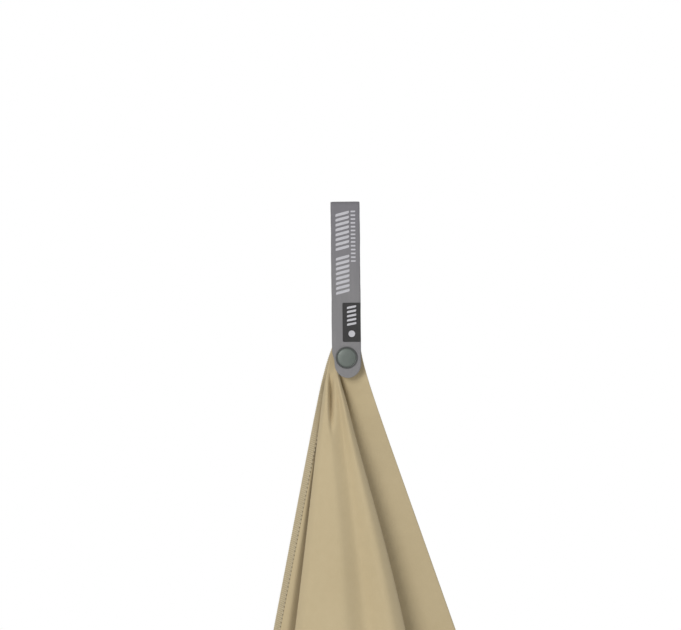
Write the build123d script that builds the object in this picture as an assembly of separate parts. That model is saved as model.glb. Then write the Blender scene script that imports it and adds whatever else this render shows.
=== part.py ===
from build123d import *
import math
import os

# A quick dry towel that hangs by its corner from a webbing loop closed by a press stud.
# Millimetres. X runs along the line that the loop hangs on, Z is up and -Y is the front.
# The origin is on that line's axis, inside the top of the loop.

# Webbing
webbing_width = 20.0
webbing_thickness = 1.0
loop_inner_radius = 2.6
front_leg_length = 118.0
back_leg_length = 112.0
lift_clearance = 0.6  # lets the front leg turn up past the fold at the top

# Press stud
stud_height = -104.0
cap_radius = 7.5
cap_dome = 1.5
cap_rim = 0.5
barrel_radius = 1.6
barrel_clearance = 0.05
socket_radius = 6.2
socket_floor = 0.8
socket_bore_radius = 2.95
groove_radius = 3.5
groove_width = 0.9
spring_wire_radius = 0.3
spring_gap = 30.0  # degrees left open in the split ring
stud_base_radius = 6.0
stud_base_thickness = 0.6
stud_clearance = 0.1
head_radius = 2.75
neck_radius = 2.25
post_radius = 6.5
post_thickness = 0.8

# Woven patch and light threads on the webbing
patch_width = 12.5
patch_length = 27.0
patch_top = -66.2
patch_thickness = 0.3
patch_corner = 0.8
thread_height = 0.2
band_centre = -2.1
band_width = 9.4
band_top = -2.0
band_length = 59.5
band_bars = 17
band_gap = 8  # the bar left out between the band's two groups
bar_share = 0.55  # share of the pitch that a bar fills
bar_slant = 2.4
dash_centre = 5.3
dash_width = 3.2
dash_length = 36.8
dash_count = 14
patch_bars = 5
patch_bar_width = 6.4
patch_bar_height = 1.5
patch_bar_slant = 1.2
patch_bar_pitch = 2.9
patch_bar_top = -69.8
patch_dot_radius = 2.3
patch_dot_height = -87.6

# Cloth
towel_length = 800.0
towel_width = 400.0
cloth_thickness = 0.8
corner_point = Vector(-5.9, 6.2, -61.5)  # where the towel's own corner would be
panel_top = -127.5
# Fold lines fan out from the corner. Each is its turn from straight down, in degrees:
# to the right, then to the back. The last one is cut back to the corner's right angle.
pleat_folds = [
    (-11.5, 1.2),
    (0.0, 2.6),
    (-8.0, -1.1),
    (-3.8, -3.5),
    (2.2, -2.2),
    (7.4, -3.9),
    (11.4, -1.1),
    (3.5, 0.9),
    (19.2, 1.8),
    (4.0, 7.3),
    (-12.0, 6.8),
]

# Sewn corner
sewn_top = -88.0
sewn_bottom = -122.0
sewn_thickness = 3.0
sewn_swell = 5.0
sewn_top_width = 17.0
sewn_neck_width = 19.0
sewn_bottom_width = 33.0
sewn_shift = -0.9  # the gathered cloth leans a little to the left as it widens
cloth_clearance = 0.1
stitch_length = 2.0
stitch_width = 0.5
stitch_height = 0.3
stitch_count = 5
stitch_pitch = 3.0
stitch_rows = (-91.0, -95.0)

# Hems
hem_width = 4.3
hem_thread = 0.3
hem_end_gap = 8.0
tag_length = 24.0
tag_width = 14.0
tag_thickness = 0.6
tag_distance = 300.0

# Derived depths, from the front to the back
outer_face = -(loop_inner_radius + webbing_thickness)
inner_face = -loop_inner_radius
back_inner_face = loop_inner_radius
back_outer_face = loop_inner_radius + webbing_thickness
cloth_front = back_outer_face + cloth_clearance
cloth_back = cloth_front + sewn_thickness
stud_face = back_inner_face - stud_base_thickness
socket_back = stud_face - stud_clearance
socket_front_floor = inner_face + socket_floor
groove_back = socket_back - 0.9
groove_front = groove_back - groove_width
hole_radius = barrel_radius + barrel_clearance
end_radius = webbing_width / 2


def slab(outline, front, back):
    """A plate with an X, Z outline, between two depths."""
    return extrude(Plane.XZ.offset(-back) * outline, amount=back - front)


def turned(points):
    """A round piece on the press stud's axis, from radius and depth points."""
    outline = make_face(Polyline(*points, close=True))
    return Pos(0, 0, stud_height) * revolve(outline, Axis.Y, 360)


def rod(radius, front, back):
    """A round rod or hole on the press stud's axis."""
    return slab(Pos(0, stud_height) * Circle(radius), front, back)


# Webbing


def strap_top_fold():
    ring = Circle(loop_inner_radius + webbing_thickness) - Circle(loop_inner_radius)
    upper = Pos(0, loop_inner_radius) * Rectangle(4 * loop_inner_radius, 2 * loop_inner_radius)
    return extrude(Plane.YZ * (ring & upper), amount=webbing_width / 2, both=True)


def strap_back_leg():
    outline = Pos(0, -back_leg_length / 2) * Rectangle(webbing_width, back_leg_length)
    leg = slab(outline, back_inner_face, back_outer_face)
    return leg - rod(hole_radius, back_inner_face, back_outer_face)


def strap_front_leg():
    straight = front_leg_length - end_radius - lift_clearance
    centre = -lift_clearance - straight / 2
    outline = Pos(0, centre) * Rectangle(webbing_width, straight)
    outline += Pos(0, end_radius - front_leg_length) * Circle(end_radius)
    return slab(outline, outer_face, inner_face) - rod(hole_radius, outer_face, inner_face)


# Press stud


def snap_cap():
    rise = cap_dome - cap_rim
    ball = (cap_radius**2 + rise**2) / (2 * rise)
    half = math.asin(cap_radius / ball) / 2
    front = outer_face - cap_dome
    rim = outer_face - cap_rim
    middle = (ball * math.sin(half), front + ball * (1 - math.cos(half)))
    dome = ThreePointArc((0, front), middle, (cap_radius, rim))
    rest = Polyline(
        (cap_radius, rim),
        (cap_radius, outer_face),
        (barrel_radius, outer_face),
        (barrel_radius, socket_front_floor),
        (0, socket_front_floor),
        (0, front),
    )
    return Pos(0, 0, stud_height) * revolve(make_face(dome + rest), Axis.Y, 360)


def snap_socket():
    return turned(
        [
            (hole_radius, inner_face),
            (socket_radius, inner_face),
            (socket_radius, socket_back),
            (socket_bore_radius, socket_back),
            (socket_bore_radius, groove_back),
            (groove_radius, groove_back),
            (groove_radius, groove_front),
            (socket_bore_radius, groove_front),
            (socket_bore_radius, socket_front_floor),
            (hole_radius, socket_front_floor),
        ]
    )


def snap_spring():
    depth = (groove_front + groove_back) / 2
    ring_radius = head_radius - 0.1 + spring_wire_radius
    wire = Plane.XY * Pos(ring_radius, depth) * Circle(spring_wire_radius)
    ring = revolve(wire, Axis.Y, 360 - spring_gap)
    return Pos(0, 0, stud_height) * Rot(0, spring_gap / 2, 0) * ring


def snap_stud():
    tip = groove_front - 0.6
    belly = groove_front - 0.05
    neck = groove_back - 0.1
    return turned(
        [
            (hole_radius, back_inner_face),
            (stud_base_radius, back_inner_face),
            (stud_base_radius, stud_face),
            (head_radius, stud_face),
            (neck_radius, neck),
            (neck_radius, groove_front + 0.15),
            (head_radius, belly),
            (head_radius - 0.5, tip),
            (hole_radius, tip),
        ]
    )


def snap_post():
    disc = rod(post_radius, cloth_back, cloth_back + post_thickness)
    return disc + rod(barrel_radius, stud_face, cloth_back)


# Patch and light threads


def side_label():
    centre = (webbing_width / 2 - patch_width / 2, patch_top - patch_length / 2)
    outline = Pos(*centre) * RectangleRounded(patch_width, patch_length, patch_corner)
    return slab(outline, outer_face - patch_thickness, outer_face)


def slanted_bar(left, middle, width, height, slant, face):
    """A thin bar that rises to the right across a face."""
    low = middle - height / 2
    high = middle + height / 2
    outline = make_face(
        Polyline(
            (left, low),
            (left + width, low + slant),
            (left + width, high + slant),
            (left, high),
            close=True,
        )
    )
    return slab(outline, face - thread_height, face)


def label_motif():
    middle = webbing_width / 2 - patch_width / 2
    left = middle - patch_bar_width / 2
    face = outer_face - patch_thickness
    pieces = []
    for number in range(patch_bars):
        height = patch_bar_top - number * patch_bar_pitch
        pieces.append(
            slanted_bar(left, height, patch_bar_width, patch_bar_height, patch_bar_slant, face)
        )
    dot = Pos(middle, patch_dot_height) * Circle(patch_dot_radius)
    pieces.append(slab(dot, face - thread_height, face))
    return Compound(children=pieces)


def strap_motif():
    face = outer_face
    left = band_centre - band_width / 2
    pitch = band_length / band_bars
    pieces = []
    for number in range(band_bars):
        if number == band_gap:
            continue
        middle = band_top - bar_slant - (number + 0.5) * (band_length - bar_slant) / band_bars
        pieces.append(
            slanted_bar(left, middle, band_width, pitch * bar_share, bar_slant, face)
        )
    dash_pitch = dash_length / dash_count
    for number in range(dash_count):
        height = band_top - (number + 0.5) * dash_pitch
        dash = Pos(dash_centre, height) * Rectangle(dash_width, dash_pitch * bar_share)
        pieces.append(slab(dash, face - thread_height, face))
    return Compound(children=pieces)


# Sewn corner


def towel_corner():
    upper_outline = make_face(
        Polyline(
            (-sewn_top_width / 2, sewn_top),
            (sewn_top_width / 2, sewn_top),
            (sewn_neck_width / 2, -back_leg_length),
            (-sewn_neck_width / 2, -back_leg_length),
            close=True,
        )
    )
    upper = slab(upper_outline, cloth_front, cloth_back)
    neck = Plane(origin=(0, 0, -back_leg_length))
    foot = Plane(origin=(0, 0, sewn_bottom))
    neck_depth = cloth_front + sewn_thickness / 2
    foot_depth = cloth_front + sewn_swell / 2
    lower = loft(
        [
            (neck * Pos(0, neck_depth) * Rectangle(sewn_neck_width, sewn_thickness)).face(),
            (foot * Pos(sewn_shift, foot_depth) * Rectangle(sewn_bottom_width, sewn_swell)).face(),
        ]
    )
    return upper + lower - rod(hole_radius, cloth_front, cloth_back)


def corner_stitching():
    """Rows of stitches, seen on the webbing inside the loop and on the cloth behind."""
    pieces = []
    faces = (
        (back_inner_face - stitch_height, back_inner_face),
        (cloth_back, cloth_back + stitch_height),
    )
    for row in stitch_rows:
        for number in range(stitch_count):
            across = (number - (stitch_count - 1) / 2) * stitch_pitch
            outline = Pos(across, row) * Rectangle(stitch_length, stitch_width)
            for front, back in faces:
                pieces.append(slab(outline, front, back))
    return Compound(children=pieces)


# Pleated cloth


def fold_direction(right, back):
    across = math.sin(math.radians(right))
    depth = math.sin(math.radians(back))
    return Vector(across, depth, -math.sqrt(1 - across**2 - depth**2))


def between(first, second, angle):
    """The direction at an angle from the first towards the second, in their plane."""
    whole = math.radians(first.get_angle(second))
    part = math.radians(angle)
    return (first * math.sin(whole - part) + second * math.sin(part)) / math.sin(whole)


def fan():
    """Directions of the fold lines and their angles on the flat towel, from its left edge."""
    lines = [(fold_direction(*pleat_folds[0]), 0.0)]
    for turn in pleat_folds[1:]:
        last, angle = lines[-1]
        direction = fold_direction(*turn)
        step = last.get_angle(direction)
        if angle + step >= 90:
            lines.append((between(last, direction, 90 - angle), 90.0))
            return lines
        lines.append((direction, angle + step))
    raise ValueError("the pleats use up less than the corner's right angle")


def reach(angle):
    """How far the cloth runs from its corner along a line at this angle."""
    turn = math.radians(angle)
    along = towel_length / max(math.cos(turn), 1e-9)
    across = towel_width / max(math.sin(turn), 1e-9)
    return min(along, across)


def far_points(first, second):
    """Points of the far edges on one flat panel, with the far corner if it is there."""
    (start, start_angle), (end, end_angle) = first, second
    diagonal = math.degrees(math.atan2(towel_width, towel_length))
    points = [corner_point + start * reach(start_angle)]
    if start_angle < diagonal < end_angle:
        line = between(start, end, diagonal - start_angle)
        points.append(corner_point + line * reach(diagonal))
    points.append(corner_point + end * reach(end_angle))
    return points


def top_point(direction):
    return corner_point + direction * ((panel_top - corner_point.Z) / direction.Z)


def plate(points, half_thickness):
    return extrude(Face(Wire.make_polygon(points, close=True)), half_thickness, both=True)


def panel(first, second):
    points = [top_point(first[0])] + far_points(first, second) + [top_point(second[0])]
    return plate(points, cloth_thickness / 2)


def towel_panel(lines):
    cloth = panel(lines[0], lines[1])
    for first, second in zip(lines[1:], lines[2:]):
        cloth += panel(first, second)
    return cloth


def hem_sleeve(start, end, inward, cloth):
    """Overlock thread wrapped round one straight stretch of edge."""
    inner = inward * hem_width
    outer = inward * -hem_thread
    points = [start + outer, end + outer, end + inner, start + inner]
    return plate(points, cloth_thickness / 2 + hem_thread) - cloth


def side_hem(line, neighbour, cloth):
    """Thread on an edge that starts at the towel's own corner."""
    direction, angle = line
    inward = (neighbour[0] - direction * neighbour[0].dot(direction)).normalized()
    start = top_point(direction) + direction * hem_width
    end = corner_point + direction * (reach(angle) - hem_width)
    return hem_sleeve(start, end, inward, cloth)


def far_hems(lines, cloth, short_edge):
    """Threads of one far edge: the short edge before the far corner, or the long one after."""
    diagonal = math.degrees(math.atan2(towel_width, towel_length))
    pieces = []
    for first, second in zip(lines, lines[1:]):
        points = far_points(first, second)
        for number, (start, end) in enumerate(zip(points, points[1:])):
            before = second[1] <= diagonal or (len(points) == 3 and number == 0)
            if before != short_edge or (end - start).length < 3 * hem_end_gap:
                continue
            along = (end - start).normalized()
            to_corner = corner_point - start
            inward = (to_corner - along * to_corner.dot(along)).normalized()
            gap = along * hem_end_gap
            pieces.append(hem_sleeve(start + gap, end - gap, inward, cloth))
    return Compound(children=pieces)


def care_tag(lines):
    """A blank folded tag that stands out from the hidden side edge."""
    direction = lines[-1][0]
    neighbour = lines[-2][0]
    outward = (direction * neighbour.dot(direction) - neighbour).normalized()
    start = corner_point + direction * tag_distance + outward * hem_thread
    end = start + direction * tag_width
    points = [start, end, end + outward * tag_length, start + outward * tag_length]
    return plate(points, tag_thickness / 2)


def write_parts():
    os.makedirs("parts", exist_ok=True)
    lines = fan()
    cloth = towel_panel(lines)
    nodes = {
        "strap_top_fold": strap_top_fold(),
        "strap_back_leg": strap_back_leg(),
        "strap_front_leg": strap_front_leg(),
        "snap_cap": snap_cap(),
        "snap_socket": snap_socket(),
        "snap_spring": snap_spring(),
        "snap_stud": snap_stud(),
        "snap_post": snap_post(),
        "side_label": side_label(),
        "label_motif": label_motif(),
        "strap_motif": strap_motif(),
        "towel_corner": towel_corner(),
        "corner_stitching": corner_stitching(),
        "towel_panel": cloth,
        "left_hem_thread": side_hem(lines[0], lines[1], cloth),
        "right_hem_thread": side_hem(lines[-1], lines[-2], cloth),
        "lower_short_hem_thread": far_hems(lines, cloth, True),
        "lower_long_hem_thread": far_hems(lines, cloth, False),
        "care_tag": care_tag(lines),
    }
    for name, shape in nodes.items():
        export_step(shape, f"parts/{name}.step")


write_parts()
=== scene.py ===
import bpy
import math
import numpy as np
from mathutils import Matrix, Vector


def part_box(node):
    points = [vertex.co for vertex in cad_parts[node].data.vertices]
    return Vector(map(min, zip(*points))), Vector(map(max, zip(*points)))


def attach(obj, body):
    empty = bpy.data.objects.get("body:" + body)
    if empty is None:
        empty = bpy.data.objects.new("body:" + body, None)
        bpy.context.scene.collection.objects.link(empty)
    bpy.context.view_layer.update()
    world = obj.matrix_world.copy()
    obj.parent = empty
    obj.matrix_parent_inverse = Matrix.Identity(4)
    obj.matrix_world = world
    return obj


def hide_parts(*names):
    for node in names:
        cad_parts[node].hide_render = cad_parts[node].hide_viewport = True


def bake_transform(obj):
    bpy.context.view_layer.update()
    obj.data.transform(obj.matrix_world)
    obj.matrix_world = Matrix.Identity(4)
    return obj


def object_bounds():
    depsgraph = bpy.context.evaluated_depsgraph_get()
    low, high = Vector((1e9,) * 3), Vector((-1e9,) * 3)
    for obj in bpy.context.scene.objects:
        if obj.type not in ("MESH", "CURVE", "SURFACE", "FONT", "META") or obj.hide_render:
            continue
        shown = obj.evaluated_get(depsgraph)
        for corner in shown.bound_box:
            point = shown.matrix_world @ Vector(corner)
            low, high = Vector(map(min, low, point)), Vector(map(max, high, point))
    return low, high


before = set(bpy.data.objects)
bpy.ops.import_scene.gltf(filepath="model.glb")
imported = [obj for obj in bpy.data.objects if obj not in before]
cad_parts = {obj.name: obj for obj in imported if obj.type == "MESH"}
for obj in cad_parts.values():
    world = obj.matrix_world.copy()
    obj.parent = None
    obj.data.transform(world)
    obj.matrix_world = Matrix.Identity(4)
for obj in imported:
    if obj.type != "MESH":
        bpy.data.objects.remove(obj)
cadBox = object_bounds()
print("frame loaded:", len(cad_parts), "pieces from the design")

mm = 0.001


# joins nodes in one tree
class Wiring:

    def __init__(self, tree):
        self.tree = tree

    def put(self, socket, value):
        if isinstance(value, bpy.types.NodeSocket):
            self.tree.links.new(value, socket)
        else:
            socket.default_value = value

    def fill(self, node, inputs):
        for name, value in inputs.items():
            self.put(node.inputs[name], value)
        return node

    def add(self, kind, inputs=None, **settings):
        node = self.tree.nodes.new(kind)
        for name, value in settings.items():
            setattr(node, name, value)
        return self.fill(node, inputs or {})

    # a shared group, with its inputs by name
    def group(self, shared, **inputs):
        node = self.add("ShaderNodeGroup", node_tree=shared)
        return self.fill(node, inputs).outputs

    def flat(self):
        return self.add("ShaderNodeUVMap", uv_map="cut").outputs[0]

    def sum(self, operation, *values):
        return self.add("ShaderNodeMath", dict(enumerate(values)), operation=operation).outputs[0]

    def plus(self, first, second):
        return self.sum("ADD", first, second)

    def minus(self, first, second):
        return self.sum("SUBTRACT", first, second)

    def times(self, first, second):
        return self.sum("MULTIPLY", first, second)

    # a row of round humps, one for each whole number
    def rounds(self, value):
        return self.sum("ABSOLUTE", self.sum("SINE", self.times(value, math.pi)))

    def vector(self, operation, first, second, output=0):
        return self.add("ShaderNodeVectorMath", {0: first, 1: second}, operation=operation).outputs[output]

    def split(self, vector):
        return self.add("ShaderNodeSeparateXYZ", {"Vector": vector}).outputs

    def noise(self, vector, scale, detail, **others):
        inputs = {"Vector": vector, "Scale": scale, "Detail": detail, **others}
        return self.add("ShaderNodeTexNoise", inputs).outputs[0]

    def ramp(self, value, low, high, kind="LINEAR"):
        inputs = {"Value": value, "From Min": low, "From Max": high}
        return self.add("ShaderNodeMapRange", inputs, interpolation_type=kind).outputs[0]

    def soft(self, value, low, high):
        return self.ramp(value, low, high, "SMOOTHSTEP")

    def tint(self, first, second, share):
        return self.add("ShaderNodeMix", {0: share, 6: first, 7: second}, data_type="RGBA").outputs[2]

    def bump(self, height, distance, strength):
        inputs = {"Height": height, "Distance": distance, "Strength": strength}
        return self.add("ShaderNodeBump", inputs).outputs[0]


def newObject(name, data):
    made = bpy.data.objects.new(name, data)
    bpy.context.collection.objects.link(made)
    return made


# camera, light and floor

studio = {
    "aim": (-3.9 * mm, 0.0, -74.6 * mm),
    "distance": 2.6,
    "frameWidth": 0.4697,  # width in view at the strap
    "lean": -0.577,  # degrees
    "keyPower": 56.0,
    "fillPower": 12.0,
    "backPower": 22.0,
    "skyStrength": 0.33,
    "floorGap": 0.04,
    "floorReach": 4.5,
}


def makeCamera():
    camera = newObject("camera", bpy.data.cameras.new("camera"))
    camera.data.sensor_width = 36
    camera.data.lens = 36 * studio["distance"] / studio["frameWidth"]
    camera.data.clip_end = 100
    x, y, z = studio["aim"]
    level = Matrix.Rotation(math.radians(90), 4, "X")
    lean = Matrix.Rotation(math.radians(studio["lean"]), 4, "Z")
    camera.matrix_world = Matrix.Translation((x, y - studio["distance"], z)) @ level @ lean
    bpy.context.scene.camera = camera


def makeLamp(name, place, size, power, colour):
    lamp = bpy.data.lights.new(name, "AREA")
    lamp.shape = "RECTANGLE"
    lamp.size, lamp.size_y = size
    lamp.energy = power
    lamp.color = colour
    holder = newObject(name, lamp)
    holder.location = place
    towards = Vector((0, 0, -0.25)) - Vector(place)
    holder.rotation_euler = towards.to_track_quat("-Z", "Y").to_euler()


# white to the camera, softer to the object
def makeSky():
    world = bpy.data.worlds.new("sky")
    bpy.context.scene.world = world
    world.use_nodes = True
    world.node_tree.nodes.clear()
    wires = Wiring(world.node_tree)
    path = wires.add("ShaderNodeLightPath").outputs["Is Camera Ray"]
    sky = {"Color": (1.0, 0.99, 0.97, 1), "Strength": studio["skyStrength"]}
    lit = wires.add("ShaderNodeBackground", sky).outputs[0]
    seen = wires.add("ShaderNodeBackground", {"Color": (1, 1, 1, 1), "Strength": 1.0}).outputs[0]
    mix = wires.add("ShaderNodeMixShader", {0: path, 1: lit, 2: seen}).outputs[0]
    wires.add("ShaderNodeOutputWorld", {0: mix})


def makeFloor():
    level = cadBox[0][2] - studio["floorGap"]
    reach = studio["floorReach"]
    mesh = bpy.data.meshes.new("floor")
    corners = [(x * reach, y * reach, level) for x, y in ((-1, -1), (1, -1), (1, 1), (-1, 1))]
    mesh.from_pydata(corners, [], [(0, 1, 2, 3)])
    floor = newObject("floor", mesh)
    paint = bpy.data.materials.new("floorPaint")
    paint.use_nodes = True
    looks = {"Base Color": (0.86, 0.86, 0.85, 1), "Roughness": 0.9}
    Wiring(paint.node_tree).fill(paint.node_tree.nodes["Principled BSDF"], looks)
    mesh.materials.append(paint)


bpy.context.scene.view_settings.view_transform = "Standard"
makeCamera()
makeSky()
makeFloor()
makeLamp("keyLamp", (-1.35, -2.6, 0.8), (1.3, 1.3), studio["keyPower"], (1.0, 0.985, 0.96))
makeLamp("fillLamp", (2.2, -1.8, 0.2), (1.8, 1.8), studio["fillPower"], (0.96, 0.98, 1.0))
makeLamp("backLamp", (0.4, 2.4, 0.8), (1.8, 1.2), studio["backPower"], (1.0, 1.0, 1.0))
print("studio ready")


# shader groups that several finishes share


# a group with a vector and other inputs, given by their usual values. What draw returns goes out
def newGroup(name, inputs, draw):
    group = bpy.data.node_groups.new(name, "ShaderNodeTree")
    group.interface.new_socket(name="Vector", in_out="INPUT", socket_type="NodeSocketVector")
    for label, value in inputs.items():
        kind = "NodeSocketColor" if isinstance(value, tuple) else "NodeSocketFloat"
        socket = group.interface.new_socket(name=label, in_out="INPUT", socket_type=kind)
        socket.default_value = value
    wires = Wiring(group)
    given = wires.add("NodeGroupInput").outputs
    drawn = draw(wires, given["Vector"], given)
    for label in drawn:
        kind = "NodeSocketColor" if label == "Colour" else "NodeSocketFloat"
        group.interface.new_socket(name=label, in_out="OUTPUT", socket_type=kind)
    wires.add("NodeGroupOutput", drawn)
    return group


# slow change of shade over cloth or metal, from two sizes of noise
def drawMottle(wires, vector, given):
    broad = wires.noise(vector, given["Broad"], 3.0)
    fine = wires.noise(vector, given["Fine"], 4.0)
    both = wires.plus(wires.times(broad, 0.6), wires.times(fine, 0.4))
    share = wires.times(wires.ramp(both, 0.36, 0.64), given["Amount"])
    return {"Colour": wires.tint(given["Colour"], given["Shade"], share)}


# over and under of a plain weave on flat coordinates in metres
def drawWeave(wires, vector, given):
    flat = wires.split(vector)
    across = wires.times(flat[0], given["Across"])
    along = wires.times(flat[1], given["Along"])
    cells = wires.plus(wires.sum("FLOOR", across), wires.sum("FLOOR", along))
    over = wires.sum("FLOORED_MODULO", cells, 2.0)
    warp = wires.times(wires.rounds(across), over)
    weft = wires.times(wires.rounds(along), wires.minus(1.0, over))
    return {"Height": wires.plus(warp, weft), "Mask": over}


# knitted wales under a short brushed nap
def drawNap(wires, vector, given):
    turns = wires.times(given["Wales"], 2 * math.pi)
    rib = wires.sum("SINE", wires.times(wires.split(vector)[1], turns))
    fibre = wires.noise(vector, given["Nap"], 5.0, Roughness=0.7)
    brushed = wires.noise(vector, wires.times(given["Nap"], 0.12), 3.0)
    height = wires.plus(wires.times(rib, 0.12), fibre)
    return {"Height": wires.plus(height, wires.times(brushed, 1.4))}


# plies of a twisted thread: U runs along it in metres, V round it from 0 to 1
def drawTwist(wires, vector, given):
    flat = wires.split(vector)
    lead = wires.times(flat[0], given["Turns"])
    wave = wires.rounds(wires.plus(lead, wires.times(flat[1], given["Plies"])))
    fuzz = wires.noise(vector, 2500.0, 2.0)
    return {"Height": wires.plus(wave, wires.times(fuzz, 0.4))}


# fine handling marks on metal
def drawScuffs(wires, vector, given):
    marks = wires.noise(vector, given["Size"], 6.0, Roughness=0.65, Distortion=0.6)
    rough = wires.sum("MULTIPLY_ADD", wires.ramp(marks, 0.35, 0.7), given["Amount"], given["Base"])
    return {"Roughness": rough, "Height": marks}


# masks for painted shade along the four hems, on flat coordinates in metres: the needle holes, and the band
# between the overlock threads
def drawHemMarks(wires, vector, given):
    flat = wires.split(vector)
    fromEnds = wires.sum("MINIMUM", flat[0], wires.minus(given["Length"], flat[0]))
    fromSides = wires.sum("MINIMUM", flat[1], wires.minus(given["Width"], flat[1]))
    onSide = wires.sum("LESS_THAN", fromSides, fromEnds)
    inward = wires.sum("MINIMUM", fromEnds, fromSides)
    along = wires.plus(wires.times(onSide, flat[0]), wires.times(wires.minus(1.0, onSide), flat[1]))
    shifted = wires.plus(along, wires.times(given["Pitch"], 0.6))
    step = wires.sum("FLOORED_MODULO", shifted, given["Pitch"])
    aside = wires.minus(step, wires.times(given["Pitch"], 0.5))
    away = wires.minus(inward, given["Inset"])
    distance = wires.sum("SQRT", wires.plus(wires.times(aside, aside), wires.times(away, away)))
    holes = wires.soft(distance, given["Radius"], wires.times(given["Radius"], 0.5))
    zone = wires.soft(inward, given["Inset"], wires.times(given["Inset"], 0.85))
    return {"Holes": holes, "Zone": zone}


mottleShades = {"Colour": (0.5, 0.5, 0.5, 1), "Shade": (0.3, 0.3, 0.3, 1)}
mottleInputs = {**mottleShades, "Broad": 12.0, "Fine": 90.0, "Amount": 0.3}
hemInputs = {"Length": 0.8, "Width": 0.4, "Inset": 0.00465, "Pitch": 0.0028, "Radius": 0.0007}
mottle = newGroup("mottle", mottleInputs, drawMottle)
hemShadeMasks = newGroup("hemShadeMasks", hemInputs, drawHemMarks)
plainWeave = newGroup("plainWeave", {"Across": 1200.0, "Along": 1200.0}, drawWeave)
brushedNap = newGroup("brushedNap", {"Wales": 900.0, "Nap": 700.0}, drawNap)
threadTwist = newGroup("threadTwist", {"Turns": 900.0, "Plies": 3.0}, drawTwist)
handlingMarks = newGroup("handlingMarks", {"Size": 400.0, "Base": 0.35, "Amount": 0.15}, drawScuffs)
print("shader groups built")


# finishes


# a material from its finish. What draw returns goes into the Principled shader
def newFinish(finish, draw):
    material = bpy.data.materials.new(finish["name"])
    material.use_nodes = True
    wires = Wiring(material.node_tree)
    wires.fill(material.node_tree.nodes["Principled BSDF"], draw(wires, finish))
    return material


# the finish's colour and shade, mottled
def mottled(wires, vector, finish, **sizes):
    shades = {"Colour": finish["colour"], "Shade": finish["shade"]}
    return wires.group(mottle, Vector=vector, **shades, **sizes)["Colour"]


def clothLooks(wires, finish):
    flat = wires.flat()
    shades = mottled(wires, flat, finish, Broad=14.0, Fine=160.0, Amount=0.32)
    nap = wires.group(brushedNap, Vector=flat, Wales=finish["wales"], Nap=finish["nap"])
    hemmed = wires.group(hemShadeMasks, Vector=flat)
    # painted shade in the band between the overlock threads, and a darker painted shade in the needle holes
    hemShaded = wires.tint(shades, finish["hemShade"], wires.times(hemmed["Zone"], finish["hemShare"]))
    return {
        "Base Color": wires.tint(hemShaded, finish["holeShade"], hemmed["Holes"]),
        "Normal": wires.bump(nap["Height"], finish["napHeight"], 0.6),
        "Roughness": finish["roughness"],
        "Specular IOR Level": 0.12,
        "Sheen Weight": finish["sheen"],
        "Sheen Roughness": 0.55,
        "Sheen Tint": finish["sheenTint"],
    }


def webbingLooks(wires, finish):
    flat = wires.flat()
    stretched = wires.vector("MULTIPLY", flat, (1.0, 0.12, 1.0))
    streaks = mottled(wires, stretched, finish, Broad=160.0, Fine=700.0, Amount=0.45)
    weave = wires.group(plainWeave, Vector=flat, Across=finish["across"], Along=finish["along"])
    woven = wires.tint(streaks, finish["gaps"], wires.times(weave["Mask"], 0.16))
    # painted shade, tinted violet, towards the top of the strap's front leg
    upper = wires.soft(wires.split(flat)[1], *finish["toneComesIn"])
    return {
        "Base Color": wires.tint(woven, finish["upperTone"], wires.times(upper, 0.5)),
        "Normal": wires.bump(weave["Height"], finish["height"], 0.7),
        "Roughness": 0.72,
        "Specular IOR Level": 0.35,
        "Sheen Weight": 0.15,
    }


def ribbonLooks(wires, finish):
    flat = wires.flat()
    weave = wires.group(plainWeave, Vector=flat, Across=finish["across"], Along=finish["along"])
    return {
        "Base Color": mottled(wires, flat, finish, Broad=120.0, Fine=900.0, Amount=0.5),
        "Normal": wires.bump(weave["Height"], finish["height"], 0.8),
        "Roughness": finish["roughness"],
        "Specular IOR Level": 0.4,
    }


def threadLooks(wires, finish):
    flat = wires.flat()
    twist = wires.group(threadTwist, Vector=flat, Turns=finish["turns"], Plies=3.0)
    return {
        "Base Color": mottled(wires, flat, finish, Broad=40.0, Fine=1500.0, Amount=0.5),
        "Normal": wires.bump(twist["Height"], 0.00008, 0.8),
        "Roughness": finish["roughness"],
        "Sheen Weight": 0.25,
    }


# painted shade: a darker line in the pressed groove inside the cap's rolled edge
def paintGrooveShade(wires, colour, solid, groove):
    flat = wires.vector("MULTIPLY", solid, (1, 0, 1))
    away = wires.vector("DISTANCE", flat, (0, 0, groove["height"]), "Value")
    return wires.tint(colour, groove["colour"], wires.soft(away, groove["inner"], groove["outer"]))


def metalLooks(wires, finish):
    solid = wires.add("ShaderNodeTexCoord").outputs["Object"]
    colour = mottled(wires, solid, finish, Broad=260.0, Fine=1600.0, Amount=0.4)
    rough = {"Base": finish["roughness"], "Amount": finish["scuffs"]}
    marks = wires.group(handlingMarks, Vector=solid, Size=420.0, **rough)
    # painted shade in the groove inside the cap's rolled edge
    if "groove" in finish:
        colour = paintGrooveShade(wires, colour, solid, finish["groove"])
    return {
        "Base Color": colour,
        "Normal": wires.bump(marks["Height"], 0.00004, 0.35),
        "Roughness": marks["Roughness"],
        "Metallic": finish["metallic"],
        "Coat Weight": finish["coat"],
        "Coat Roughness": 0.25,
    }


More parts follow.
